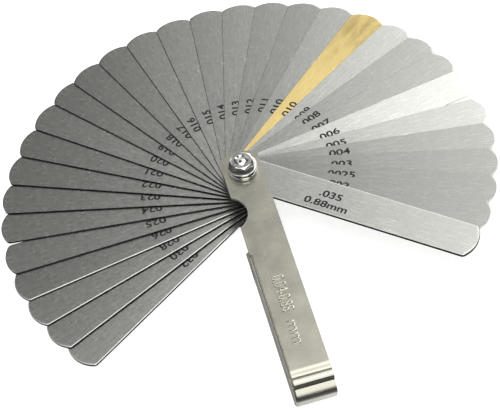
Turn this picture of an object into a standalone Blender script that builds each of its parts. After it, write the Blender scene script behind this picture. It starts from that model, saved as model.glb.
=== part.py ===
"""A 32-leaf feeler gauge, fanned open: loose thickness leaves turning on one screw in a folded sheet case.

Metres, +Z up. The origin is the centre of the screw head's flat underside, with the pivot axis along Z.
The case points along -Y. Each leaf is an object of its own, turned about the pivot axis to its place in
the fan.
"""

import math

import bmesh
import bpy
from mathutils import Vector

MM = 0.001
INCH = 0.0254
CONTACT_GAP = 0.01 * MM  # between faces that touch on the real tool

# The leaves, from the top of the stack down, by thickness in thousandths of an inch.
THOUSANDTHS = (35, 1.5, 2, 2.5, 3, 4, 5, 6, 7, 8, 9, 10, *range(10, 27), 28, 30, 32)
BRASS_LEAF = 11
LEAF_HALF_WIDTH = 6.35 * MM
LEAF_REACH = 83 * MM  # pivot axis to tip, on a leaf 3 1/2 inches long overall
LEAF_TIP_RADIUS = 10 * MM
LEAF_CORNER_RADIUS = 1.6 * MM
LEAF_HOLE_RADIUS = 2.08 * MM

# The fan, anticlockwise from the top leaf: runs of (leaves, degrees from one to the next).
# The thinnest leaf hides under the top one, so it has no step of its own.
FIRST_LEAF_ANGLE = -41.4
FAN_RUNS = (
    (4, 8.1),
    (1, 8.5),
    (1, 10.3),
    (3, 8.3),
    (1, 8.8),
    (5, 8.5),
    (1, 9.0),
    (3, 8.55),
    (1, 7.7),
    (5, 8.8),
    (1, 9.5),
    (3, 8.55),
    (1, 7.7),
)

# The screw and what it clamps, from the bottom up.
SHANK_RADIUS = 2 * MM
HEAD_RADIUS = 4 * MM
HEAD_HEIGHT = 1.4 * MM
HEAD_ROUNDING = 0.6 * MM
SCREW_END_BELOW_NUT_TOP = 0.35 * MM
DOME_HEIGHT = 0.5 * MM
WASHER_RADIUS = 4.75 * MM
WASHER_HOLE_RADIUS = 2.2 * MM
WASHER_THICKNESS = 0.6 * MM
WASHER_EDGE = 0.12 * MM
SPRING_WASHER_RADIUS = 3.7 * MM
SPRING_WASHER_THICKNESS = 0.8 * MM
SPRING_WASHER_SPLIT = 0.5 * MM
NUT_ACROSS_FLATS = 7 * MM
NUT_HEIGHT = 2.4 * MM
NUT_CHAMFER_RADIUS = 3.45 * MM
NUT_CHAMFER_SLOPE = math.tan(math.radians(30))
NUT_BORE_RADIUS = 2.08 * MM
NUT_COUNTERSINK = 0.35 * MM
ROUND_STEPS = 48

# The case: one strip of sheet folded over the stack, with a wall down its left side.
SHEET = 0.9 * MM
CASE_LEFT = -6.75 * MM
CASE_RIGHT = 6.3 * MM
CASE_HOLE_RADIUS = 2.08 * MM
CASE_WALL_START = 36 * MM  # distances along the case are from the pivot axis, towards -Y
CASE_BEND_RADIUS = 0.85 * MM
CASE_END_CORNER = 6 * MM  # where the arc at the pivot end meets the long edges
CASE_END_RISE = 2.2 * MM
CASE_END_CORNER_RADIUS = 1.8 * MM  # of the corner on the open side
NOTCH_CENTRE = Vector((-10.4 * MM, -17.3 * MM))
NOTCH_RADIUS = 7.5 * MM
JOIN_OVERLAP = 1.5 * MM

# The closed end, as the middle of the sheet runs: arcs of (radius in mm, degrees), where a positive arc turns
# up. The strip leaves the top plate at END_STRAIGHT mm from the pivot axis, dips into a groove, rolls over a
# round rib, tucks in under it, then bulges and comes back under the stack. The straight length before the
# last arc is worked out from the case's height.
END_STRAIGHT = 83.2
END_ARCS = ((5.0, -26), (0.8, 62), (1.15, -150), (1.3, 70), (6.0, -22), (2.6, -50))
END_LAST_ARC = (1.6, -64)
ARC_STEP = 12

MATERIALS = {
    "ground_steel": ((0.52, 0.52, 0.51), 0.34, 1.0),
    "brass": ((0.80, 0.60, 0.28), 0.32, 1.0),
    "nickel_plate": ((0.60, 0.58, 0.54), 0.30, 1.0),
    "zinc_plate": ((0.80, 0.82, 0.82), 0.16, 1.0),
}


def clear_scene():
    for found in list(bpy.data.objects):
        bpy.data.objects.remove(found)


def make_materials():
    for name, (colour, roughness, metallic) in MATERIALS.items():
        material = bpy.data.materials.new(name)
        material.use_nodes = True
        shader = material.node_tree.nodes["Principled BSDF"]
        shader.inputs["Base Color"].default_value = (*colour, 1)
        shader.inputs["Roughness"].default_value = roughness
        shader.inputs["Metallic"].default_value = metallic


def add_object(name, bm, material=None, parent=None):
    """Link the bmesh to the scene as a named object, with its faces turned out and its sharp edges kept."""
    bmesh.ops.recalc_face_normals(bm, faces=bm.faces)
    mesh = bpy.data.meshes.new(name)
    bm.to_mesh(mesh)
    bm.free()
    mesh.shade_smooth()
    mesh.set_sharp_from_angle(angle=math.radians(30))
    made = bpy.data.objects.new(name, mesh)
    made.parent = parent
    if material:
        mesh.materials.append(bpy.data.materials[material])
    bpy.context.scene.collection.objects.link(made)
    return made


def add_helper(name, bm):
    helper = add_object(name, bm)
    helper.hide_render = True
    helper.display_type = "WIRE"
    return helper


def combine(target, helper, operation):
    modifier = target.modifiers.new(helper.name, "BOOLEAN")
    modifier.operation = operation
    modifier.object = helper


def arc_points(centre, radius, start, end, steps):
    """Points on an arc in a plane, both ends included. The angles are in degrees."""
    turns = [math.radians(start + (end - start) * i / steps) for i in range(steps + 1)]
    middle = Vector(centre)
    return [middle + radius * Vector((math.cos(turn), math.sin(turn))) for turn in turns]


def circle_points(radius, steps=ROUND_STEPS):
    return arc_points((0, 0), radius, 0, 360, steps)[:-1]


def flat_solid(outline, holes, bottom, thickness):
    """A flat plate: the outline less its holes, from bottom up."""
    bm = bmesh.new()
    edges = []
    for loop in (outline, *holes):
        verts = [bm.verts.new((*point, bottom)) for point in loop]
        edges += [bm.edges.new((verts[i - 1], verts[i])) for i in range(len(verts))]
    bmesh.ops.triangle_fill(bm, edges=edges, use_beauty=True)
    raised = bmesh.ops.extrude_face_region(bm, geom=bm.faces[:])["geom"]
    raised_verts = [item for item in raised if isinstance(item, bmesh.types.BMVert)]
    bmesh.ops.translate(bm, verts=raised_verts, vec=(0, 0, thickness))
    return bm


def ring_solid(section, steps=ROUND_STEPS):
    """A ring about Z. section(angle) gives its cross-section there: (radius, z) pairs round a closed loop."""
    bm = bmesh.new()
    loops = []
    for i in range(steps):
        angle = 2 * math.pi * i / steps
        loops.append(
            [bm.verts.new((r * math.cos(angle), r * math.sin(angle), z)) for r, z in section(angle)]
        )
    for here, after in zip(loops, loops[1:] + loops[:1]):
        for i in range(len(here)):
            bm.faces.new((here[i - 1], here[i], after[i], after[i - 1]))
    return bm


def turned_solid(profile, steps=ROUND_STEPS):
    """A solid turned about Z and closed at both ends, whose (radius, z) profile runs from the bottom up."""
    bm = bmesh.new()
    loops = [[bm.verts.new((*point, z)) for point in circle_points(r, steps)] for r, z in profile]
    for lower, upper in zip(loops, loops[1:]):
        for i in range(steps):
            bm.faces.new((lower[i - 1], lower[i], upper[i], upper[i - 1]))
    bm.faces.new(loops[0])
    bm.faces.new(loops[-1])
    return bm


def leaf_thickness(thousandths):
    return thousandths * INCH / 1000


def leaf_name(index):
    """Such as leaf_0025 for the 0.0025 inch leaf and leaf_010_brass for the brass one."""
    thousandths = THOUSANDTHS[index]
    digits = f"{thousandths:03d}" if isinstance(thousandths, int) else f"{round(thousandths * 10):04d}"
    return f"leaf_{digits}" + ("_brass" if index == BRASS_LEAF else "")


def fan_angles():
    """Each leaf's direction in degrees from +X, anticlockwise, from the top of the stack down."""
    angles = [FIRST_LEAF_ANGLE, FIRST_LEAF_ANGLE]
    for count, step in FAN_RUNS:
        for _ in range(count):
            angles.append(angles[-1] + step)
    return angles


def leaf_outline():
    """Round at the pivot, straight sides, and a gently curved tip with soft corners."""
    tip_x = LEAF_REACH - LEAF_TIP_RADIUS
    corner_y = LEAF_HALF_WIDTH - LEAF_CORNER_RADIUS
    corner_offset = math.sqrt((LEAF_TIP_RADIUS - LEAF_CORNER_RADIUS) ** 2 - corner_y**2)
    turn = math.degrees(math.atan2(corner_y, corner_offset))
    corner_x = tip_x + corner_offset
    points = arc_points((0, 0), LEAF_HALF_WIDTH, 90, 270, 16)
    points += arc_points((corner_x, -corner_y), LEAF_CORNER_RADIUS, -90, -turn, 3)
    points += arc_points((tip_x, 0), LEAF_TIP_RADIUS, -turn, turn, 8)[1:-1]
    points += arc_points((corner_x, corner_y), LEAF_CORNER_RADIUS, turn, 90, 3)
    return points


def build_leaves(stack_bottom, pivot):
    """Every leaf, from the bottom of the stack up, and the height of the stack's top."""
    angles = fan_angles()
    bottom = stack_bottom
    for index in reversed(range(len(THOUSANDTHS))):
        bottom += CONTACT_GAP
        thickness = leaf_thickness(THOUSANDTHS[index])
        bm = flat_solid(leaf_outline(), [circle_points(LEAF_HOLE_RADIUS, 32)], 0, thickness)
        material = "brass" if index == BRASS_LEAF else "ground_steel"
        leaf = add_object(leaf_name(index), bm, material, pivot)
        leaf.location.z = bottom
        leaf.rotation_euler.z = math.radians(angles[index])
        bottom += thickness
    return bottom + CONTACT_GAP


def follow(start, heading, moves, offset):
    """Points along a path of ("line", length) and ("arc", radius, degrees) moves, shifted left by offset."""
    position, points = Vector(start), []
    heading = math.radians(heading)
    for kind, size, *turn in moves:
        left = Vector((-math.sin(heading), math.cos(heading)))
        if not points:
            points.append(position + left * offset)
        if kind == "line":
            position = position + Vector((math.cos(heading), math.sin(heading))) * size
            points.append(position + left * offset)
            continue
        side = math.copysign(1, turn[0])
        centre = position + left * size * side
        steps = max(2, round(abs(turn[0]) / ARC_STEP))
        for step in range(1, steps + 1):
            angle = heading + math.radians(turn[0]) * step / steps
            left = Vector((-math.sin(angle), math.cos(angle)))
            points.append(centre - left * (size * side - offset))
        position = centre - left * size * side
        heading = angle
    return points


def end_moves(start, height):
    """The moves from the top plate, round the closed end and back, for mid-sheet lines that far apart."""
    moves = [("line", END_STRAIGHT * MM - start)]
    moves += [("arc", radius * MM, turn) for radius, turn in END_ARCS]
    heading = math.radians(sum(turn for _, turn in END_ARCS))
    radius, turn = END_LAST_ARC
    dropped = -follow((0, 0), 0, moves, 0)[-1].y
    last_drop = radius * MM * (math.cos(heading) - math.cos(heading + math.radians(turn)))
    back_length = (height - dropped - last_drop) / -math.sin(heading)
    moves += [("line", back_length), ("arc", radius * MM, turn)]
    reached = follow((start, 0), 0, moves, 0)[-1].x
    return moves + [("line", reached - start)]


def side_solid(profile, left, right):
    """A solid with this closed (distance along the case, z) profile, from left to right across the case."""
    bm = bmesh.new()
    verts = [bm.verts.new((left, -along, z)) for along, z in profile]
    face = bm.faces.new(verts)
    moved = bmesh.ops.extrude_face_region(bm, geom=[face])["geom"]
    moved_verts = [item for item in moved if isinstance(item, bmesh.types.BMVert)]
    bmesh.ops.translate(bm, verts=moved_verts, vec=(right - left, 0, 0))
    return bm


def round_left_edges(bm):
    edges = [
        edge
        for edge in bm.edges
        if all(abs(vert.co.x - CASE_LEFT) < 1e-7 for vert in edge.verts)
    ]
    radius = CASE_BEND_RADIUS
    bmesh.ops.bevel(bm, geom=edges, offset=radius, segments=3, profile=0.5, affect="EDGES")


def case_plate_outline():
    """The flat part over the pivot, from above: an arc at the pivot end and a finger notch on the left."""
    half = (CASE_RIGHT - CASE_LEFT) / 2
    middle = (CASE_RIGHT + CASE_LEFT) / 2
    end_radius = (half**2 + CASE_END_RISE**2) / (2 * CASE_END_RISE)
    end_centre = (middle, CASE_END_CORNER + CASE_END_RISE - end_radius)
    end_half_angle = math.degrees(math.asin(half / end_radius))
    corner_side = half - CASE_END_CORNER_RADIUS
    corner_rise = math.sqrt((end_radius - CASE_END_CORNER_RADIUS) ** 2 - corner_side**2)
    corner_centre = (middle + corner_side, end_centre[1] + corner_rise)
    corner_turn = math.degrees(math.atan2(corner_rise, corner_side))
    pivot_end = arc_points(corner_centre, CASE_END_CORNER_RADIUS, 0, corner_turn, 5)
    pivot_end += arc_points(end_centre, end_radius, corner_turn, 90 + end_half_angle, 12)[1:]
    notch_half_angle = math.degrees(math.acos((CASE_LEFT - NOTCH_CENTRE.x) / NOTCH_RADIUS))
    notch = arc_points(NOTCH_CENTRE, NOTCH_RADIUS, notch_half_angle, -notch_half_angle, 16)
    far = -(CASE_WALL_START + JOIN_OVERLAP)
    inner_left = CASE_LEFT + CASE_BEND_RADIUS
    shoulder = [
        Vector((CASE_LEFT, -CASE_WALL_START)),
        Vector((inner_left, -CASE_WALL_START)),
        Vector((inner_left, far)),
        Vector((CASE_RIGHT, far)),
    ]
    return pivot_end + notch + shoulder


def build_case(bottom, top):
    """The folded case, whose plates lie between these outer heights."""
    mid_top = top - SHEET / 2
    height = top - bottom - SHEET
    start = CASE_WALL_START
    moves = end_moves(start, height)
    outside = follow((start, mid_top), 0, moves, SHEET / 2)
    bm = side_solid(outside, CASE_LEFT, CASE_RIGHT)
    round_left_edges(bm)
    case = add_object("case", bm, "nickel_plate")

    inside = follow((start, mid_top), 0, moves, -SHEET / 2)
    inside[0].x -= JOIN_OVERLAP
    inside[-1].x -= JOIN_OVERLAP
    hollow = side_solid(inside, CASE_LEFT + SHEET, CASE_RIGHT + SHEET)
    combine(case, add_helper("case_hollow", hollow), "DIFFERENCE")

    hole = circle_points(CASE_HOLE_RADIUS)
    for name, plate_bottom in (("case_top_plate", top - SHEET), ("case_bottom_plate", bottom)):
        plate = flat_solid(case_plate_outline(), [hole], plate_bottom, SHEET)
        combine(case, add_helper(name, plate), "UNION")


def build_screw(nut_top):
    end = nut_top - SCREW_END_BELOW_NUT_TOP
    profile = [(HEAD_RADIUS - 0.15 * MM, 0), (HEAD_RADIUS, 0.15 * MM), (HEAD_RADIUS, HEAD_HEIGHT)]
    profile += [(SHANK_RADIUS, HEAD_HEIGHT), (SHANK_RADIUS, end - DOME_HEIGHT)]
    for turn in (30, 60):
        angle = math.radians(turn)
        profile.append((SHANK_RADIUS * math.cos(angle), end - DOME_HEIGHT * (1 - math.sin(angle))))
    add_object("pivot_screw", turned_solid(profile), "zinc_plate")


def washer_section(bottom, thickness):
    top = bottom + thickness
    return [
        (WASHER_HOLE_RADIUS, bottom),
        (WASHER_RADIUS, bottom),
        (WASHER_RADIUS, top - WASHER_EDGE),
        (WASHER_RADIUS - WASHER_EDGE, top),
        (WASHER_HOLE_RADIUS, top),
    ]


def build_washer(name, bottom):
    section = washer_section(bottom, WASHER_THICKNESS)
    add_object(name, ring_solid(lambda angle: section), "zinc_plate")
    return bottom + WASHER_THICKNESS + CONTACT_GAP


def build_spring_washer(bottom):
    """A split ring, pressed flat."""
    half_outer = math.degrees(math.asin(SPRING_WASHER_SPLIT / 2 / SPRING_WASHER_RADIUS))
    half_inner = math.degrees(math.asin(SPRING_WASHER_SPLIT / 2 / WASHER_HOLE_RADIUS))
    outline = arc_points((0, 0), SPRING_WASHER_RADIUS, half_outer, 360 - half_outer, ROUND_STEPS)
    outline += arc_points((0, 0), WASHER_HOLE_RADIUS, 360 - half_inner, half_inner, ROUND_STEPS)
    bm = flat_solid(outline, [], bottom, SPRING_WASHER_THICKNESS)
    add_object("spring_washer", bm, "zinc_plate")
    return bottom + SPRING_WASHER_THICKNESS + CONTACT_GAP


def build_nut(bottom):
    """A hexagon nut with a chamfered top. One corner points down the case."""
    top = bottom + NUT_HEIGHT

    def section(angle):
        across = (angle + math.pi / 2) % (math.pi / 3) - math.pi / 6
        flat_radius = NUT_ACROSS_FLATS / 2 / math.cos(across)
        lowered = max(0, flat_radius - NUT_CHAMFER_RADIUS) * NUT_CHAMFER_SLOPE
        return [
            (NUT_BORE_RADIUS, bottom),
            (flat_radius, bottom),
            (flat_radius, top - lowered),
            (min(flat_radius, NUT_CHAMFER_RADIUS) - 0.05 * MM, top),
            (NUT_BORE_RADIUS + NUT_COUNTERSINK, top),
            (NUT_BORE_RADIUS, top - NUT_COUNTERSINK),
        ]

    add_object("pivot_nut", ring_solid(section), "zinc_plate")
    return top


def main():
    clear_scene()
    make_materials()
    pivot = bpy.data.objects.new("pivot_axis", None)
    bpy.context.scene.collection.objects.link(pivot)
    case_bottom = HEAD_HEIGHT + CONTACT_GAP
    stack_top = build_leaves(case_bottom + SHEET, pivot)
    case_top = stack_top + SHEET
    build_case(case_bottom, case_top)
    upper = build_washer("lower_washer", case_top + CONTACT_GAP)
    upper = build_spring_washer(upper)
    upper = build_washer("upper_washer", upper)
    build_screw(build_nut(upper))


main()
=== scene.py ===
"""The looks of the fanned feeler gauge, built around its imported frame.

Every leaf is rebuilt with rounded edges and ground faces, and marked with its thickness. The case is
rebuilt as smoothly bent sheet, and the screw, nut and washers are turned finely. Metres, +Z up, in the
frame's own coordinates: the pivot axis is Z, and the case points along -Y.
"""

import math

import bmesh
import bpy
from mathutils import Matrix, Vector


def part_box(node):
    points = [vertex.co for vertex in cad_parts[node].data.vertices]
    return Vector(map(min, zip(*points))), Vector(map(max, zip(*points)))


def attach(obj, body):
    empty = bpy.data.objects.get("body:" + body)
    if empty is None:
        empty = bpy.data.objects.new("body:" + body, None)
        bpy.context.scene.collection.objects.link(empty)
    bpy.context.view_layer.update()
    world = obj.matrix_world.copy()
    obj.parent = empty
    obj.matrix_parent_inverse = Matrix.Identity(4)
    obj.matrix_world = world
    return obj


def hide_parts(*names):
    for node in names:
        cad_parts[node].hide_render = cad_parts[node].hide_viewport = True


MM = 0.001

# The camera, which looks down on the fan from the front: where it points, and how far off it is.
CAMERA_AZIMUTH = -5.9
CAMERA_ELEVATION = 49.06
CAMERA_ROLL = -10.9
CAMERA_DISTANCE = 595.96 * MM
CAMERA_TARGET = Vector((2.9, -17.92, 0)) * MM  # before it is turned by the azimuth, from the stack's top
CAMERA_LENS = 133.1
CAMERA_SHIFT = (-0.0198, 0.0088)

# The leaves.
LEAF_HALF_WIDTH = 6.35 * MM
LEAF_TIP_RADIUS = 10 * MM
LEAF_CORNER_RADIUS = 1.6 * MM
LEAF_HOLE_RADIUS = 2.08 * MM
THICK_LEAF = 0.64 * MM  # leaves thicker than this have a wider and bright upper edge
THIN_UPPER_EDGE = (0.13 * MM, 0.12 * MM)  # how far in and down it is rounded
THICK_UPPER_EDGE = (0.36 * MM, 0.17 * MM)
LOWER_EDGE = 0.06 * MM
EDGE_STEPS = 3
LEAF_HOLE_STEPS = 48
ARC_STEP = 4  # degrees
CORNER_STEP = 8  # degrees, on the smallest arcs

# The marks on the leaves: inches on the first line and millimetres on the second.
MARK_HEIGHT = 2.7 * MM
MARK_STRETCH = 1.28
MARK_BOLDNESS = 0.09 * MM
MARK_REACH = 31.7 * MM  # from the pivot axis to the middle of each line
MARK_UP = 2.4 * MM  # the middle of the first line, from the middle of the leaf
MARK_UPS = {  # where the first line is higher or lower on the leaf
    "leaf_004": 3.1 * MM,
    "leaf_006": 1.9 * MM,
    "leaf_008": 2.9 * MM,
    "leaf_009": 1.8 * MM,
    "leaf_016": 3.2 * MM,
    "leaf_035": 1.1 * MM,
}
MARK_LINE_SPACING = 4.1 * MM
MARK_DEPTH = 0.004 * MM
DIGIT_HEIGHT_SHARE = 0.73  # of the font's size

# The case, as in the frame, with finer bends. Distances along it are from the pivot axis, towards -Y.
SHEET = 0.9 * MM
CASE_WALL_START = 36 * MM
CASE_BEND_RADIUS = 0.85 * MM
CASE_BEND_STEPS = 8
CASE_HOLE_RADIUS = 2.08 * MM
CASE_END_CORNER = 6 * MM
CASE_END_RISE = 2.2 * MM
CASE_END_CORNER_RADIUS = 1.8 * MM  # of the corner on the open side
NOTCH_CENTRE = Vector((-10.4 * MM, -17.3 * MM))
NOTCH_RADIUS = 7.5 * MM
JOIN_OVERLAP = 1.5 * MM
CASE_EDGE_ROUNDING = 0.1 * MM
# The middle of the sheet round the closed end, in mm and degrees: where the flat top stops, then the radius
# and turn of each bend, where a turn above 0 is upwards.
END_STRAIGHT = 83.2
END_ARCS = ((5.0, -26), (0.8, 62), (1.15, -150), (1.3, 70), (6.0, -22), (2.6, -50))
END_LAST_ARC = (1.6, -64)
CASE_MARK_HEIGHT = 4.2 * MM
CASE_MARK_RISE = 0.34 * MM  # above the plate
CASE_MARK_BEVEL = 0.13 * MM
CASE_MARK_BOLDNESS = 0.02 * MM
CASE_MARK_SIDE = -0.2 * MM  # across the case, from its middle
# Words, how far down the case each is centred, and its stretch.
CASE_MARKS = (("0.04-0.88", 54.15 * MM, 0.68), ("mm", 69.85 * MM, 1.1))

# The screw, nut and washers. The screw's end is chamfered below a low dome.
SHANK_RADIUS = 2 * MM
HEAD_RADIUS = 4 * MM
HEAD_HEIGHT = 1.4 * MM
HEAD_LOWER_ROUNDING = 0.3 * MM
HEAD_UPPER_ROUNDING = 0.1 * MM
DOME_RADIUS = 1.5 * MM
DOME_HEIGHT = 0.4 * MM
DOME_STEP = 15  # degrees
CHAMFER_LOW = 1.1 * MM  # where it starts and ends, below the top of the dome
CHAMFER_HIGH = 0.55 * MM
WASHER_ROUNDING = 0.12 * MM
SPRING_WASHER_ROUNDING = 0.06 * MM
WASHER_HOLE_RADIUS = 2.2 * MM
SPRING_WASHER_SPLIT = 0.5 * MM
NUT_ACROSS_FLATS = 7 * MM
NUT_CHAMFER_RADIUS = 3.4 * MM
NUT_CHAMFER_SLOPE = math.tan(math.radians(30))
NUT_BORE_RADIUS = 2.08 * MM
NUT_COUNTERSINK = 0.35 * MM
NUT_TOP_INSET = 0.05 * MM
ROUND_STEPS = 120  # round each fastener

# The surfaces. Colours are linear.
STEEL = (0.435, 0.435, 0.42)
# Painted shade and a dark cut edge: the leaves' rims, dark for the shade in the gaps between the leaves.
DARK_EDGE_AND_PAINTED_SHADE = (0.018, 0.018, 0.018)
BRASS = (0.79, 0.62, 0.27)
# The brass leaf's rim, likewise a dark edge with painted shade.
BRASS_DARK_EDGE_AND_PAINTED_SHADE = (0.10, 0.06, 0.02)
NICKEL = (0.44, 0.429, 0.373)
ZINC = (0.74, 0.75, 0.74)
# Painted shade: the spring washer, shaded between the washers, is coloured near black.
SPRING_WASHER_PAINTED_SHADE = (0.05, 0.05, 0.05)
ETCHED = (0.02, 0.02, 0.02)
# Painted sheen: leaves are lighter or darker to stand in for how brightly each reflects the lights as it
# turns.
LEAF_PAINTED_SHEEN = {  # times STEEL, where they differ
    "leaf_002": 0.72,
    "leaf_0025": 0.72,
    "leaf_003": 0.76,
    "leaf_004": 0.86,
    "leaf_005": 1.2,
    "leaf_006": 1.55,
    "leaf_007": 0.96,
    "leaf_008": 0.95,
    "leaf_009": 1.25,
    "leaf_011": 0.85,
    "leaf_012": 0.9,
    "leaf_015": 1.08,
    "leaf_016": 1.1,
    "leaf_020": 1.1,
    "leaf_026": 0.9,
    "leaf_032": 1.1,
}
SCRATCHES = ((38, 0.6), (-52, 0.62), (81, 0.62))  # which way they run, in degrees, and how rare they are
BUMP_DEPTH = 0.02 * MM
FLOOR_HALF_SIZE = 3  # metres
FLOOR_TONE = (0.55, 0.55, 0.55, 1)
FLOOR_GLOW = 0.74
BACKGROUND = (1.0, 1.0, 0.975, 1)


# ---------------------------------------------------------------- materials


class Nodes:
    """Short ways to add and join shader nodes."""

    def __init__(self, tree):
        self.tree = tree

    def add(self, kind, settings=None, **inputs):
        node = self.tree.nodes.new(kind)
        for key, value in (settings or {}).items():
            setattr(node, key, value)
        for key, value in inputs.items():
            self.set(node.inputs[key.replace("_", " ")], value)
        return node

    def set(self, socket, value):
        if isinstance(value, bpy.types.NodeSocket):
            self.tree.links.new(value, socket)
        else:
            socket.default_value = value

    def maths(self, operation, first, second=0.0):
        node = self.tree.nodes.new("ShaderNodeMath")
        node.operation = operation
        self.set(node.inputs[0], first)
        self.set(node.inputs[1], second)
        return node.outputs[0]

    def ramp(self, value, start, end, low=0.0, high=1.0, smooth=True):
        node = self.tree.nodes.new("ShaderNodeMapRange")
        node.interpolation_type = "SMOOTHSTEP" if smooth else "LINEAR"
        for index, item in enumerate((value, start, end, low, high)):
            self.set(node.inputs[index], item)
        return node.outputs[0]

    def swing(self, noise, amount):
        """The noise turned about zero, and scaled."""
        return self.maths("MULTIPLY", self.maths("SUBTRACT", noise, 0.5), amount)

    def stretched_noise(self, place, stretch, turn, detail=2.0):
        """Noise in a frame turned about Z and stretched, as brushing or scratches run."""
        mapping = self.add("ShaderNodeMapping", Vector=place)
        mapping.inputs["Rotation"].default_value = (0, 0, math.radians(turn))
        mapping.inputs["Scale"].default_value = stretch
        noise = self.add("ShaderNodeTexNoise", Vector=mapping.outputs[0], Scale=1.0, Detail=detail)
        return noise.outputs[0]


def new_material(name):
    """A new material, the Nodes to add to it with, and its main shader."""
    material = bpy.data.materials.new(name)
    material.use_nodes = True
    nodes = Nodes(material.node_tree)
    shader = material.node_tree.nodes["Principled BSDF"]
    return material, nodes, shader


def tinted(nodes, colour, amount):
    """The colour times amount."""
    node = nodes.tree.nodes.new("ShaderNodeVectorMath")
    node.operation = "SCALE"
    node.inputs[0].default_value = colour
    nodes.set(node.inputs["Scale"], amount)
    return node.outputs[0]


def scratch_lines(nodes, place, turn, cut):
    """Sparse short scratches in one direction: the crests of a stretched noise, where another allows them."""
    lines = nodes.stretched_noise(place, (110, 4200, 1), turn, 0.0)
    where = nodes.stretched_noise(place, (130, 130, 1), turn + 17, 0.0)
    crests = nodes.ramp(lines, cut, cut + 0.1)
    return nodes.maths("MULTIPLY", crests, nodes.ramp(where, 0.5, 0.65))


def ground_metal(name, colour, roughness, grain=1.0, stains=0.0):
    """Strip metal: a ground grain, faint scratches and, if asked, stains and a darker tone to the tip."""
    material, nodes, shader = new_material(name)
    place = nodes.add("ShaderNodeTexCoord").outputs["Object"]
    fine = nodes.stretched_noise(place, (2600, 3400, 1), 8)
    coarse = nodes.stretched_noise(place, (520, 900, 1), -6)
    cloud = nodes.stretched_noise(place, (60, 90, 1), 0)
    scratches = 0.0
    for turn, cut in SCRATCHES:
        scratches = nodes.maths("ADD", scratch_lines(nodes, place, turn, cut), scratches)
    tone = nodes.swing(fine, 0.55 * grain)
    tone = nodes.maths("ADD", tone, nodes.swing(coarse, 0.14 * grain))
    tone = nodes.maths("ADD", tone, nodes.swing(cloud, 0.1))
    tone = nodes.maths("ADD", tone, nodes.maths("MULTIPLY", scratches, 0.2 * grain))
    if stains:
        along = nodes.add("ShaderNodeSeparateXYZ", Vector=place).outputs[0]
        spots = nodes.ramp(nodes.stretched_noise(place, (120, 420, 1), 12, 3.0), 0.35, 0.7)
        worn = nodes.maths("MULTIPLY", nodes.ramp(along, 45 * MM, 80 * MM), nodes.maths("ADD", spots, 0.4))
        tone = nodes.maths("SUBTRACT", tone, nodes.maths("MULTIPLY", worn, stains))
        darker = nodes.ramp(along, 20 * MM, 75 * MM, 0.1, -0.14, smooth=False)
        tone = nodes.maths("ADD", tone, darker)
    nodes.set(shader.inputs["Base Color"], tinted(nodes, colour, nodes.maths("ADD", tone, 1.0)))
    shader.inputs["Metallic"].default_value = 1.0
    rough = nodes.maths("ADD", nodes.swing(coarse, 0.08), roughness)
    nodes.set(shader.inputs["Roughness"], rough)
    bump = nodes.add("ShaderNodeBump", Strength=0.12, Distance=BUMP_DEPTH, Height=fine)
    nodes.set(shader.inputs["Normal"], bump.outputs[0])
    return material


def plated_metal(name, colour, roughness, mottle, bump_strength):
    """Plating over sheet or turned metal: a soft mottle and a very fine grain."""
    material, nodes, shader = new_material(name)
    place = nodes.add("ShaderNodeTexCoord").outputs["Object"]
    cloud = nodes.add("ShaderNodeTexNoise", Vector=place, Scale=160.0, Detail=3.0).outputs[0]
    fine = nodes.add("ShaderNodeTexNoise", Vector=place, Scale=2400.0, Detail=2.0).outputs[0]
    tone = nodes.maths("ADD", nodes.swing(cloud, mottle), nodes.swing(fine, mottle))
    nodes.set(shader.inputs["Base Color"], tinted(nodes, colour, nodes.maths("ADD", tone, 1.0)))
    shader.inputs["Metallic"].default_value = 1.0
    rough = nodes.maths("ADD", nodes.swing(cloud, 0.12), roughness)
    nodes.set(shader.inputs["Roughness"], rough)
    bump = nodes.add("ShaderNodeBump", Strength=bump_strength, Distance=BUMP_DEPTH, Height=fine)
    nodes.set(shader.inputs["Normal"], bump.outputs[0])
    return material


def etched_black():
    """The dark oxide of an etched mark, a little uneven."""
    material, nodes, shader = new_material("etched_black")
    place = nodes.add("ShaderNodeTexCoord").outputs["Object"]
    noise = nodes.add("ShaderNodeTexNoise", Vector=place, Scale=1900.0, Detail=2.0).outputs[0]
    wear = nodes.ramp(noise, 0.4, 0.75, 0.5, 2.2)
    nodes.set(shader.inputs["Base Color"], tinted(nodes, ETCHED, wear))
    shader.inputs["Roughness"].default_value = 0.7
    shader.inputs["Specular IOR Level"].default_value = 0.2
    return material


def floor_material():
    """A pale floor for the camera alone: other rays, and the camera below it, see through it."""
    material, nodes, _ = new_material("pale_floor")
    tree = material.node_tree
    output = tree.nodes["Material Output"]
    rays = nodes.add("ShaderNodeLightPath")
    bright = nodes.add("ShaderNodeBsdfDiffuse", Color=FLOOR_TONE)
    glow = nodes.add("ShaderNodeEmission", Color=(1, 1, 1, 1), Strength=FLOOR_GLOW)
    pale = nodes.add("ShaderNodeAddShader")
    tree.links.new(bright.outputs[0], pale.inputs[0])
    tree.links.new(glow.outputs[0], pale.inputs[1])
    backfacing = nodes.add("ShaderNodeNewGeometry").outputs["Backfacing"]
    from_above = nodes.maths("SUBTRACT", 1.0, backfacing)
    shown = nodes.maths("MULTIPLY", rays.outputs["Is Camera Ray"], from_above)
    mixed = nodes.add("ShaderNodeMixShader", Fac=shown)
    tree.links.new(nodes.add("ShaderNodeBsdfTransparent").outputs[0], mixed.inputs[1])
    tree.links.new(pale.outputs[0], mixed.inputs[2])
    tree.links.new(mixed.outputs[0], output.inputs["Surface"])
    return material


# ---------------------------------------------------------------- shape helpers


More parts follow.
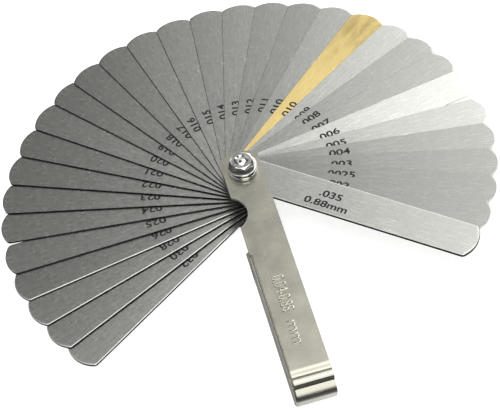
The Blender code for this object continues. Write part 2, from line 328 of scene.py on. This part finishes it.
def add_object(name, bm, materials, sharp_angle=30):
    """An object from a bmesh, which it frees, smoothly shaded but for edges over the angle, in degrees."""
    bmesh.ops.recalc_face_normals(bm, faces=bm.faces)
    mesh = bpy.data.meshes.new(name)
    bm.to_mesh(mesh)
    bm.free()
    mesh.shade_smooth()
    mesh.set_sharp_from_angle(angle=math.radians(sharp_angle))
    made = bpy.data.objects.new(name, mesh)
    for material in materials:
        mesh.materials.append(material)
    bpy.context.scene.collection.objects.link(made)
    return made


def apply_modifiers(piece):
    """Keep what the modifiers make as the piece's own mesh."""
    graph = bpy.context.evaluated_depsgraph_get()
    mesh = bpy.data.meshes.new_from_object(piece.evaluated_get(graph))
    piece.modifiers.clear()
    piece.data = mesh


def even_shading(piece):
    """Let the large faces set the shading, so that flats look flat beside small round edges."""
    shade = piece.modifiers.new("shading", "WEIGHTED_NORMAL")
    shade.keep_sharp = True
    apply_modifiers(piece)


def finish_edges(piece, width):
    """Round the sharp edges a little, and keep the flats' shading flat."""
    bevel = piece.modifiers.new("edges", "BEVEL")
    bevel.width = width
    bevel.segments = 2
    bevel.limit_method = "ANGLE"
    bevel.angle_limit = math.radians(40)
    bevel.miter_outer = "MITER_ARC"
    even_shading(piece)


def arc_points(centre, radius, start, end, step=ARC_STEP):
    """Points on an arc in a plane, both ends included. The angles are in degrees."""
    steps = max(2, math.ceil(abs(end - start) / step))
    angles = [math.radians(start + (end - start) * i / steps) for i in range(steps + 1)]
    return [Vector((centre[0] + radius * math.cos(a), centre[1] + radius * math.sin(a))) for a in angles]


def circle_points(radius, steps=ROUND_STEPS):
    return arc_points((0, 0), radius, 0, 360, 360 / steps)[:-1]


def flat_solid(outline, holes, bottom, thickness):
    """A flat plate: the outline less its holes, from bottom up."""
    bm = bmesh.new()
    edges = []
    for loop in (outline, *holes):
        verts = [bm.verts.new((*point, bottom)) for point in loop]
        edges += [bm.edges.new((verts[i - 1], verts[i])) for i in range(len(verts))]
    bmesh.ops.triangle_fill(bm, edges=edges, use_beauty=True)
    raised = bmesh.ops.extrude_face_region(bm, geom=bm.faces[:])["geom"]
    raised_verts = [item for item in raised if isinstance(item, bmesh.types.BMVert)]
    bmesh.ops.translate(bm, verts=raised_verts, vec=(0, 0, thickness))
    return bm


def ring_solid(section, start=0.0, end=2 * math.pi):
    """A ring about Z, or a split one. section(angle) gives its (radius, z) pairs round a closed loop."""
    bm = bmesh.new()
    whole = math.isclose(end - start, 2 * math.pi)
    loops = []
    for i in range(ROUND_STEPS if whole else ROUND_STEPS + 1):
        angle = start + (end - start) * i / ROUND_STEPS
        across, along = math.cos(angle), math.sin(angle)
        loops.append([bm.verts.new((r * across, r * along, z)) for r, z in section(angle)])
    pairs = list(zip(loops, loops[1:]))
    if whole:
        pairs.append((loops[-1], loops[0]))
    for here, after in pairs:
        for i in range(len(here)):
            bm.faces.new((here[i - 1], here[i], after[i], after[i - 1]))
    if not whole:
        bm.faces.new(loops[0])
        bm.faces.new(loops[-1])
    return bm


def turned_solid(profile):
    """A solid turned about Z and closed at both ends, whose (radius, z) profile runs from the bottom up."""
    bm = bmesh.new()
    loops = [[bm.verts.new((*point, z)) for point in circle_points(r)] for r, z in profile]
    for lower, upper in zip(loops, loops[1:]):
        for i in range(ROUND_STEPS):
            bm.faces.new((lower[i - 1], lower[i], upper[i], upper[i - 1]))
    bm.faces.new(loops[0])
    bm.faces.new(loops[-1])
    return bm


def rounded_box_section(inner, outer, bottom, top, rounding):
    """A rectangle with round corners, as (radius, z) pairs round a closed loop."""
    corners = (
        (inner + rounding, bottom + rounding, 180),
        (outer - rounding, bottom + rounding, 270),
        (outer - rounding, top - rounding, 0),
        (inner + rounding, top - rounding, 90),
    )
    points = []
    for r, z, angle in corners:
        points += [tuple(point) for point in arc_points((r, z), rounding, angle, angle + 90, 22.5)]
    return points


def text_solid(words, height, stretch, depth, bevel=0.0, boldness=0.0):
    """Raised words standing on z = 0, centred on the origin, reading along +X with their tops towards +Y."""
    curve = bpy.data.curves.new("words", "FONT")
    curve.body = words
    curve.size = height / DIGIT_HEIGHT_SHARE
    curve.align_x = "CENTER"
    curve.resolution_u = 4
    curve.extrude = depth / 2 - bevel
    curve.bevel_depth = bevel
    curve.bevel_resolution = 1
    curve.offset = boldness - bevel
    helper = bpy.data.objects.new("words", curve)
    bpy.context.scene.collection.objects.link(helper)
    bpy.context.view_layer.update()
    graph = bpy.context.evaluated_depsgraph_get()
    mesh = bpy.data.meshes.new_from_object(helper.evaluated_get(graph))
    bpy.data.objects.remove(helper)
    bm = bmesh.new()
    bm.from_mesh(mesh)
    bmesh.ops.remove_doubles(bm, verts=bm.verts, dist=1e-7)
    low = min(v.co.x for v in bm.verts)
    high = max(v.co.x for v in bm.verts)
    bmesh.ops.translate(bm, verts=bm.verts, vec=(-(low + high) / 2, -height / 2, depth / 2))
    bmesh.ops.scale(bm, verts=bm.verts, vec=(stretch, 1, 1))
    return bm


# ---------------------------------------------------------------- the leaves


def leaf_loop(reach, inset):
    """The leaf's outline, moved in by inset: round at the pivot, straight sides, a tip with soft corners."""
    tip_x = reach - LEAF_TIP_RADIUS
    corner_y = LEAF_HALF_WIDTH - LEAF_CORNER_RADIUS
    corner_offset = math.sqrt((LEAF_TIP_RADIUS - LEAF_CORNER_RADIUS) ** 2 - corner_y**2)
    turn = math.degrees(math.atan2(corner_y, corner_offset))
    corner_x = tip_x + corner_offset
    corner = LEAF_CORNER_RADIUS - inset
    points = arc_points((0, 0), LEAF_HALF_WIDTH - inset, 90, 270)
    points += arc_points((corner_x, -corner_y), corner, -90, -turn, CORNER_STEP)
    points += arc_points((tip_x, 0), LEAF_TIP_RADIUS - inset, -turn, turn)[1:-1]
    points += arc_points((corner_x, corner_y), corner, turn, 90, CORNER_STEP)
    return points


def leaf_solid(reach, thickness):
    """The leaf lying along +X from the pivot axis, on z = 0, with its dark rim in material slot 1: a dark cut
    edge, and painted shade for the gaps between leaves.
    """
    bm = bmesh.new()
    thick = thickness > THICK_LEAF
    across, down = THICK_UPPER_EDGE if thick else THIN_UPPER_EDGE
    share = min(1, thickness / 3 / down)  # smaller edges on the thinnest leaves
    edge, across, down = LOWER_EDGE * share, across * share, down * share
    turns = [math.radians(90 * i / EDGE_STEPS) for i in range(EDGE_STEPS + 1)]
    levels = [(edge * (1 - math.sin(a)), edge * (1 - math.cos(a))) for a in turns]
    levels += [(across * (1 - math.sin(a)), thickness - down * (1 - math.cos(a))) for a in reversed(turns)]
    # Painted shade: the wall, and on thinner leaves the upper rounding too, take the dark rim to stand in for
    # the shade between the leaves.
    dark_rings = EDGE_STEPS + 1 if thick else 2 * EDGE_STEPS + 1
    rims = []
    for inset, z in levels:
        rims.append([bm.verts.new((*point, z)) for point in leaf_loop(reach, inset)])
    for ring, (below, above) in enumerate(zip(rims, rims[1:])):
        for i in range(len(below)):
            face = bm.faces.new((below[i - 1], below[i], above[i], above[i - 1]))
            face.material_index = int(ring < dark_rings)
    hole = circle_points(LEAF_HOLE_RADIUS, LEAF_HOLE_STEPS)
    bores = [[bm.verts.new((*point, z)) for point in hole] for z in (0, thickness)]
    for i in range(len(bores[0])):
        face = bm.faces.new((bores[0][i], bores[0][i - 1], bores[1][i - 1], bores[1][i]))
        face.material_index = 1
    for rim, bore in ((rims[0], bores[0]), (rims[-1], bores[1])):
        edges = [bm.edges.get((loop[i - 1], loop[i])) for loop in (rim, bore) for i in range(len(loop))]
        bmesh.ops.triangle_fill(bm, edges=edges, use_beauty=True)
    return bm


def leaf_direction(node):
    """(reach, angle) of a leaf's farthest point from the pivot axis."""
    points = [vert.co.to_2d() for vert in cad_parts[node].data.vertices]
    far = max(points, key=lambda point: point.length)
    return far.length, math.atan2(far.y, far.x)


def leaf_marks(node, thickness):
    """The two lines that say how thick a leaf is: in inches, from its name, then in millimetres."""
    inches = "." + node.split("_")[1]
    hundredths = int(thickness / MM * 100 + 0.01)
    return inches, f"{hundredths / 100:.2f}mm"


def build_leaf(node, metal, rim, black):
    """The leaf in place of the frame's, and its marks, which ride with it."""
    low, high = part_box(node)
    thickness = high.z - low.z
    reach, angle = leaf_direction(node)
    place = Matrix.Translation((0, 0, low.z)) @ Matrix.Rotation(angle, 4, "Z")
    leaf = add_object(node + "_blade", leaf_solid(reach, thickness), [metal, rim], sharp_angle=50)
    even_shading(leaf)
    leaf.matrix_world = place
    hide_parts(node)
    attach(leaf, node)

    up = MARK_UPS.get(node, MARK_UP)
    marks = bmesh.new()
    for line, words in enumerate(leaf_marks(node, thickness)):
        letters = text_solid(words, MARK_HEIGHT, MARK_STRETCH, MARK_DEPTH, boldness=MARK_BOLDNESS)
        place_on_leaf = (MARK_REACH, up - line * MARK_LINE_SPACING, thickness)
        bmesh.ops.translate(letters, verts=letters.verts, vec=place_on_leaf)
        part = bpy.data.meshes.new("line")
        letters.to_mesh(part)
        letters.free()
        marks.from_mesh(part)
    piece = add_object(node + "_marks", marks, [black])
    piece.matrix_world = place
    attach(piece, node)


# ---------------------------------------------------------------- the case


def follow(start, heading, moves, offset):
    """Points along a path of ("line", length) and ("arc", radius, degrees) moves, shifted left by offset."""
    position, points = Vector(start), []
    heading = math.radians(heading)
    for kind, size, *turn in moves:
        left = Vector((-math.sin(heading), math.cos(heading)))
        if not points:
            points.append(position + left * offset)
        if kind == "line":
            position = position + Vector((math.cos(heading), math.sin(heading))) * size
            points.append(position + left * offset)
            continue
        side = math.copysign(1, turn[0])
        centre = position + left * size * side
        steps = max(2, round(abs(turn[0]) / ARC_STEP))
        for step in range(1, steps + 1):
            angle = heading + math.radians(turn[0]) * step / steps
            left = Vector((-math.sin(angle), math.cos(angle)))
            points.append(centre - left * (size * side - offset))
        position = centre - left * size * side
        heading = angle
    return points


def end_moves(start, height):
    """The moves from the top plate, round the closed end and back, for mid-sheet lines that far apart."""
    moves = [("line", END_STRAIGHT * MM - start)]
    moves += [("arc", radius * MM, turn) for radius, turn in END_ARCS]
    heading = math.radians(sum(turn for _, turn in END_ARCS))
    radius, turn = END_LAST_ARC
    dropped = -follow((0, 0), 0, moves, 0)[-1].y
    last_drop = radius * MM * (math.cos(heading) - math.cos(heading + math.radians(turn)))
    moves += [("line", (height - dropped - last_drop) / -math.sin(heading)), ("arc", radius * MM, turn)]
    reached = follow((start, 0), 0, moves, 0)[-1].x
    return moves + [("line", reached - start)]


def side_solid(profile, left, right):
    """A solid with this closed (distance along the case, z) profile, from left to right across the case."""
    bm = bmesh.new()
    face = bm.faces.new([bm.verts.new((left, -along, z)) for along, z in profile])
    moved = bmesh.ops.extrude_face_region(bm, geom=[face])["geom"]
    moved_verts = [item for item in moved if isinstance(item, bmesh.types.BMVert)]
    bmesh.ops.translate(bm, verts=moved_verts, vec=(right - left, 0, 0))
    return bm


def round_left_edges(bm, left):
    """The bends where the wall meets the top and bottom, all along the left side."""
    edges = [edge for edge in bm.edges if all(abs(vert.co.x - left) < 1e-7 for vert in edge.verts)]
    radius = CASE_BEND_RADIUS
    bmesh.ops.bevel(bm, geom=edges, offset=radius, segments=CASE_BEND_STEPS, profile=0.5, affect="EDGES")


def case_plate_outline(left, right):
    """The flat part over the pivot, from above: an arc at the pivot end and a finger notch on the left."""
    half = (right - left) / 2
    middle = (right + left) / 2
    end_radius = (half**2 + CASE_END_RISE**2) / (2 * CASE_END_RISE)
    end_centre = (middle, CASE_END_CORNER + CASE_END_RISE - end_radius)
    end_half_angle = math.degrees(math.asin(half / end_radius))
    corner_side = half - CASE_END_CORNER_RADIUS
    corner_rise = math.sqrt((end_radius - CASE_END_CORNER_RADIUS) ** 2 - corner_side**2)
    corner_centre = (middle + corner_side, end_centre[1] + corner_rise)
    corner_turn = math.degrees(math.atan2(corner_rise, corner_side))
    pivot_end = arc_points(corner_centre, CASE_END_CORNER_RADIUS, 0, corner_turn, CORNER_STEP)
    pivot_end += arc_points(end_centre, end_radius, corner_turn, 90 + end_half_angle)[1:]
    notch_half_angle = math.degrees(math.acos((left - NOTCH_CENTRE.x) / NOTCH_RADIUS))
    notch = arc_points(NOTCH_CENTRE, NOTCH_RADIUS, notch_half_angle, -notch_half_angle)
    far = -(CASE_WALL_START + JOIN_OVERLAP)
    inner = left + CASE_BEND_RADIUS
    shoulder = [(left, -CASE_WALL_START), (inner, -CASE_WALL_START), (inner, far), (right, far)]
    return pivot_end + notch + [Vector(point) for point in shoulder]


def build_case(metal):
    """One folded sheet: a channel closed at its far end, and the two plates over and under the pivot."""
    low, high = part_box("case")
    mid_top = high.z - SHEET / 2
    start = CASE_WALL_START
    moves = end_moves(start, high.z - low.z - SHEET)
    body = side_solid(follow((start, mid_top), 0, moves, SHEET / 2), low.x, high.x)
    round_left_edges(body, low.x)
    case = add_object("case_sheet", body, [metal])

    inside = follow((start, mid_top), 0, moves, -SHEET / 2)
    inside[0].x -= JOIN_OVERLAP
    inside[-1].x -= JOIN_OVERLAP
    hollow = add_object("case_hollow", side_solid(inside, low.x + SHEET, high.x + SHEET), [])
    helpers = [(hollow, "DIFFERENCE")]
    outline = case_plate_outline(low.x, high.x)
    for name, bottom in (("top_plate", high.z - SHEET), ("bottom_plate", low.z)):
        plate = flat_solid(outline, [circle_points(CASE_HOLE_RADIUS)], bottom, SHEET)
        helpers.append((add_object(name, plate, []), "UNION"))
    for helper, operation in helpers:
        modifier = case.modifiers.new(helper.name, "BOOLEAN")
        modifier.operation = operation
        modifier.object = helper
    apply_modifiers(case)
    for helper, _ in helpers:
        bpy.data.objects.remove(helper)
    case.data.set_sharp_from_angle(angle=math.radians(30))
    finish_edges(case, CASE_EDGE_ROUNDING)
    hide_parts("case")
    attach(case, "holder")
    build_case_marks((low.x + high.x) / 2 + CASE_MARK_SIDE, high.z, metal)


def build_case_marks(middle, top, metal):
    """Raised words down the case, with their tops towards its open side."""
    sunk = CASE_MARK_RISE / 2
    depth = CASE_MARK_RISE + sunk
    turn = Matrix.Rotation(-math.pi / 2, 4, "Z")
    for number, (words, along, stretch) in enumerate(CASE_MARKS, 1):
        letters = text_solid(words, CASE_MARK_HEIGHT, stretch, depth, CASE_MARK_BEVEL, CASE_MARK_BOLDNESS)
        piece = add_object(f"case_mark_{number}", letters, [metal])
        piece.matrix_world = Matrix.Translation((middle, -along, top - sunk)) @ turn
        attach(piece, "holder")


# ---------------------------------------------------------------- the fasteners


def put_fastener(node, bm, metal, sharp_angle=35):
    piece = add_object(node + "_turned", bm, [metal], sharp_angle)
    even_shading(piece)
    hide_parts(node)
    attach(piece, "holder")


def build_screw(metal):
    low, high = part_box("pivot_screw")
    head_top = low.z + HEAD_HEIGHT
    foot = (HEAD_RADIUS - HEAD_LOWER_ROUNDING, low.z + HEAD_LOWER_ROUNDING)
    shoulder = (HEAD_RADIUS - HEAD_UPPER_ROUNDING, head_top - HEAD_UPPER_ROUNDING)
    profile = arc_points(foot, HEAD_LOWER_ROUNDING, 270, 360, 15)
    profile += arc_points(shoulder, HEAD_UPPER_ROUNDING, 0, 90, 30)
    profile += [(SHANK_RADIUS, head_top), (SHANK_RADIUS, high.z - CHAMFER_LOW)]
    profile += [(DOME_RADIUS, high.z - CHAMFER_HIGH)]
    for degrees in range(DOME_STEP, 90, DOME_STEP):
        turn = math.radians(degrees)
        profile.append((DOME_RADIUS * math.cos(turn), high.z - DOME_HEIGHT * (1 - math.sin(turn))))
    put_fastener("pivot_screw", turned_solid(profile), metal)


def build_washer(node, metal):
    low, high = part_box(node)
    section = rounded_box_section(WASHER_HOLE_RADIUS, high.x, low.z, high.z, WASHER_ROUNDING)
    put_fastener(node, ring_solid(lambda angle: section), metal)


def build_spring_washer(metal):
    low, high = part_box("spring_washer")
    outer = -low.x  # the split is on the other side
    section = rounded_box_section(WASHER_HOLE_RADIUS, outer, low.z, high.z, SPRING_WASHER_ROUNDING)
    gap = SPRING_WASHER_SPLIT / 2 / outer
    ring = ring_solid(lambda angle: section, gap, 2 * math.pi - gap)
    put_fastener("spring_washer", ring, metal)


def build_nut(metal):
    """A hexagon nut, chamfered above and countersunk at its bore. One corner points down the case."""
    low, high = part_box("pivot_nut")

    def section(angle):
        across = (angle + math.pi / 2) % (math.pi / 3) - math.pi / 6
        flat_radius = NUT_ACROSS_FLATS / 2 / math.cos(across)
        lowered = max(0, flat_radius - NUT_CHAMFER_RADIUS) * NUT_CHAMFER_SLOPE
        return [
            (NUT_BORE_RADIUS, low.z),
            (flat_radius, low.z),
            (flat_radius, high.z - lowered),
            (min(flat_radius, NUT_CHAMFER_RADIUS) - NUT_TOP_INSET, high.z),
            (NUT_BORE_RADIUS + NUT_COUNTERSINK, high.z),
            (NUT_BORE_RADIUS, high.z - NUT_COUNTERSINK),
        ]

    put_fastener("pivot_nut", ring_solid(section), metal, sharp_angle=20)


# ---------------------------------------------------------------- the stage


def make_camera(stack_top):
    turn = Matrix.Rotation(math.radians(CAMERA_AZIMUTH), 3, "Z")
    elevation, roll = math.radians(CAMERA_ELEVATION), math.radians(CAMERA_ROLL)
    back = Vector((0, -math.cos(elevation), math.sin(elevation)))
    level = Vector((1, 0, 0))
    upright = back.cross(level)
    right = level * math.cos(roll) + upright * math.sin(roll)
    up = upright * math.cos(roll) - level * math.sin(roll)
    axes = turn @ Matrix((right, up, back)).transposed()
    target = turn @ CAMERA_TARGET + Vector((0, 0, stack_top))
    data = bpy.data.cameras.new("camera")
    data.sensor_width = 36
    data.lens = CAMERA_LENS
    data.shift_x, data.shift_y = CAMERA_SHIFT
    data.clip_start, data.clip_end = 0.01, 20
    camera = bpy.data.objects.new("camera", data)
    camera.matrix_world = Matrix.Translation(target + turn @ back * CAMERA_DISTANCE) @ axes.to_4x4()
    bpy.context.scene.collection.objects.link(camera)
    bpy.context.scene.camera = camera


def make_floor():
    bm = bmesh.new()
    bmesh.ops.create_grid(bm, x_segments=1, y_segments=1, size=FLOOR_HALF_SIZE)
    floor = add_object("floor", bm, [floor_material()])


def make_light():
    """A dark studio with soft lights, behind a background that is pale to the camera alone.

    Each light has a strength and its limits, which are ramps along the x, y or z of its direction.
    """
    world = bpy.data.worlds.new("studio")
    world.use_nodes = True
    bpy.context.scene.world = world
    nodes = Nodes(world.node_tree)
    background = world.node_tree.nodes["Background"]
    direction = nodes.add("ShaderNodeTexCoord").outputs["Generated"]
    x, y, z = nodes.add("ShaderNodeSeparateXYZ", Vector=direction).outputs
    ramp = nodes.ramp
    aside = nodes.maths("ABSOLUTE", x)
    overhead = ramp(z, 0.965, 0.992, 1, 0.5)
    lights = {
        # The key, behind and to the right, which brightens towards the leaves on the right.
        "key": (2.9, ramp(x, 0.03, 0.37, smooth=False), ramp(x, 0.68, 0.5), ramp(y, 0, 0.35)),
        # A round light overhead, dimmer in the middle, and a lower patch to the right of it for the case.
        "overhead": (1.9, ramp(z, 0.81, 0.93), overhead),
        "patch": (0.75, ramp(x, 0, 0.08), ramp(x, 0.3, 0.16), ramp(z, 0.765, 0.83), overhead),
        # A strip behind and to the left, and a weak fill farther round.
        "left": (0.95, ramp(x, -0.2, -0.32), ramp(x, -0.6, -0.48), ramp(y, 0, 0.3)),
        "far_left": (0.6, ramp(x, -0.62, -0.8), ramp(z, -0.02, 0.1)),
        # Two in front, for the rims and the case's closed end.
        "front": (2.2, ramp(y, -0.1, -0.35), ramp(aside, 0.36, 0.22), ramp(z, 0.02, 0.12)),
        "front_right": (2.4, ramp(x, 0.62, 0.74), ramp(y, 0, -0.2), ramp(z, 0.1, 0.2), ramp(z, 0.66, 0.5)),
        # From below, for views of the underside.
        "low_ring": (0.5, ramp(z, -0.25, -0.42), ramp(z, -0.7, -0.58), ramp(y, -0.35, -0.1)),
        "underneath": (0.6, ramp(z, -0.84, -0.95)),
        "low_fill": (0.1, ramp(z, -0.3, -0.5)),
    }
    glow = 0.05  # the studio itself
    for strength, *limits in lights.values():
        for limit in limits:
            strength = nodes.maths("MULTIPLY", limit, strength)
        glow = nodes.maths("ADD", strength, glow)
    seen = nodes.add("ShaderNodeLightPath").outputs["Is Camera Ray"]
    mixed = nodes.add("ShaderNodeMix", {"data_type": "FLOAT"})
    for index, value in ((0, seen), (2, glow), (3, 1.0)):
        nodes.set(mixed.inputs[index], value)
    background.inputs["Color"].default_value = BACKGROUND
    nodes.set(background.inputs["Strength"], mixed.outputs[0])


def make_stage(stack_top):
    bpy.context.scene.view_settings.view_transform = "Standard"
    make_camera(stack_top)
    make_floor()
    make_light()


# ---------------------------------------------------------------- everything


def build_leaves():
    black = etched_black()
    # The rims: a dark edge, with painted shade for the gaps between the leaves.
    rim = ground_metal("leaf_rim_and_painted_shade", DARK_EDGE_AND_PAINTED_SHADE, roughness=0.3, grain=0.2)
    brass_rim_and_painted_shade = ground_metal("brass_rim_and_painted_shade", BRASS_DARK_EDGE_AND_PAINTED_SHADE, roughness=0.3, grain=0.2)
    for node in sorted(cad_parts):
        if not node.startswith("leaf_"):
            continue
        if node.endswith("brass"):
            metal = ground_metal("brass_strip", BRASS, roughness=0.3, grain=0.6, stains=0.22)
            build_leaf(node, metal, brass_rim_and_painted_shade, black)
            continue
        # A painted sheen, per leaf.
        tone = LEAF_PAINTED_SHEEN.get(node, 1.0)
        metal = ground_metal(node + "_steel", [part * tone for part in STEEL], roughness=0.26)
        build_leaf(node, metal, rim, black)


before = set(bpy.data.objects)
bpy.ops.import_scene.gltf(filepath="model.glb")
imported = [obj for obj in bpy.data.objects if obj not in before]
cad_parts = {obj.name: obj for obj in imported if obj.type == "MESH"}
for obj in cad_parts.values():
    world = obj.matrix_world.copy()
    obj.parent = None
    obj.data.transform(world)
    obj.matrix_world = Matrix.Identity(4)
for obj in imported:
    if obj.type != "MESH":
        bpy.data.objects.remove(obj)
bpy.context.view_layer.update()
make_stage(stack_top=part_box("leaf_035")[1].z)
build_leaves()
build_case(plated_metal("nickel", NICKEL, roughness=0.26, mottle=0.22, bump_strength=0.1))
zinc = plated_metal("zinc", ZINC, roughness=0.14, mottle=0.08, bump_strength=0.05)
# Near black, as painted shade.
spring_steel = plated_metal("spring_steel", SPRING_WASHER_PAINTED_SHADE, roughness=0.25, mottle=0.08, bump_strength=0.05)
build_screw(zinc)
build_washer("lower_washer", zinc)
build_spring_washer(spring_steel)
build_washer("upper_washer", zinc)
build_nut(zinc)
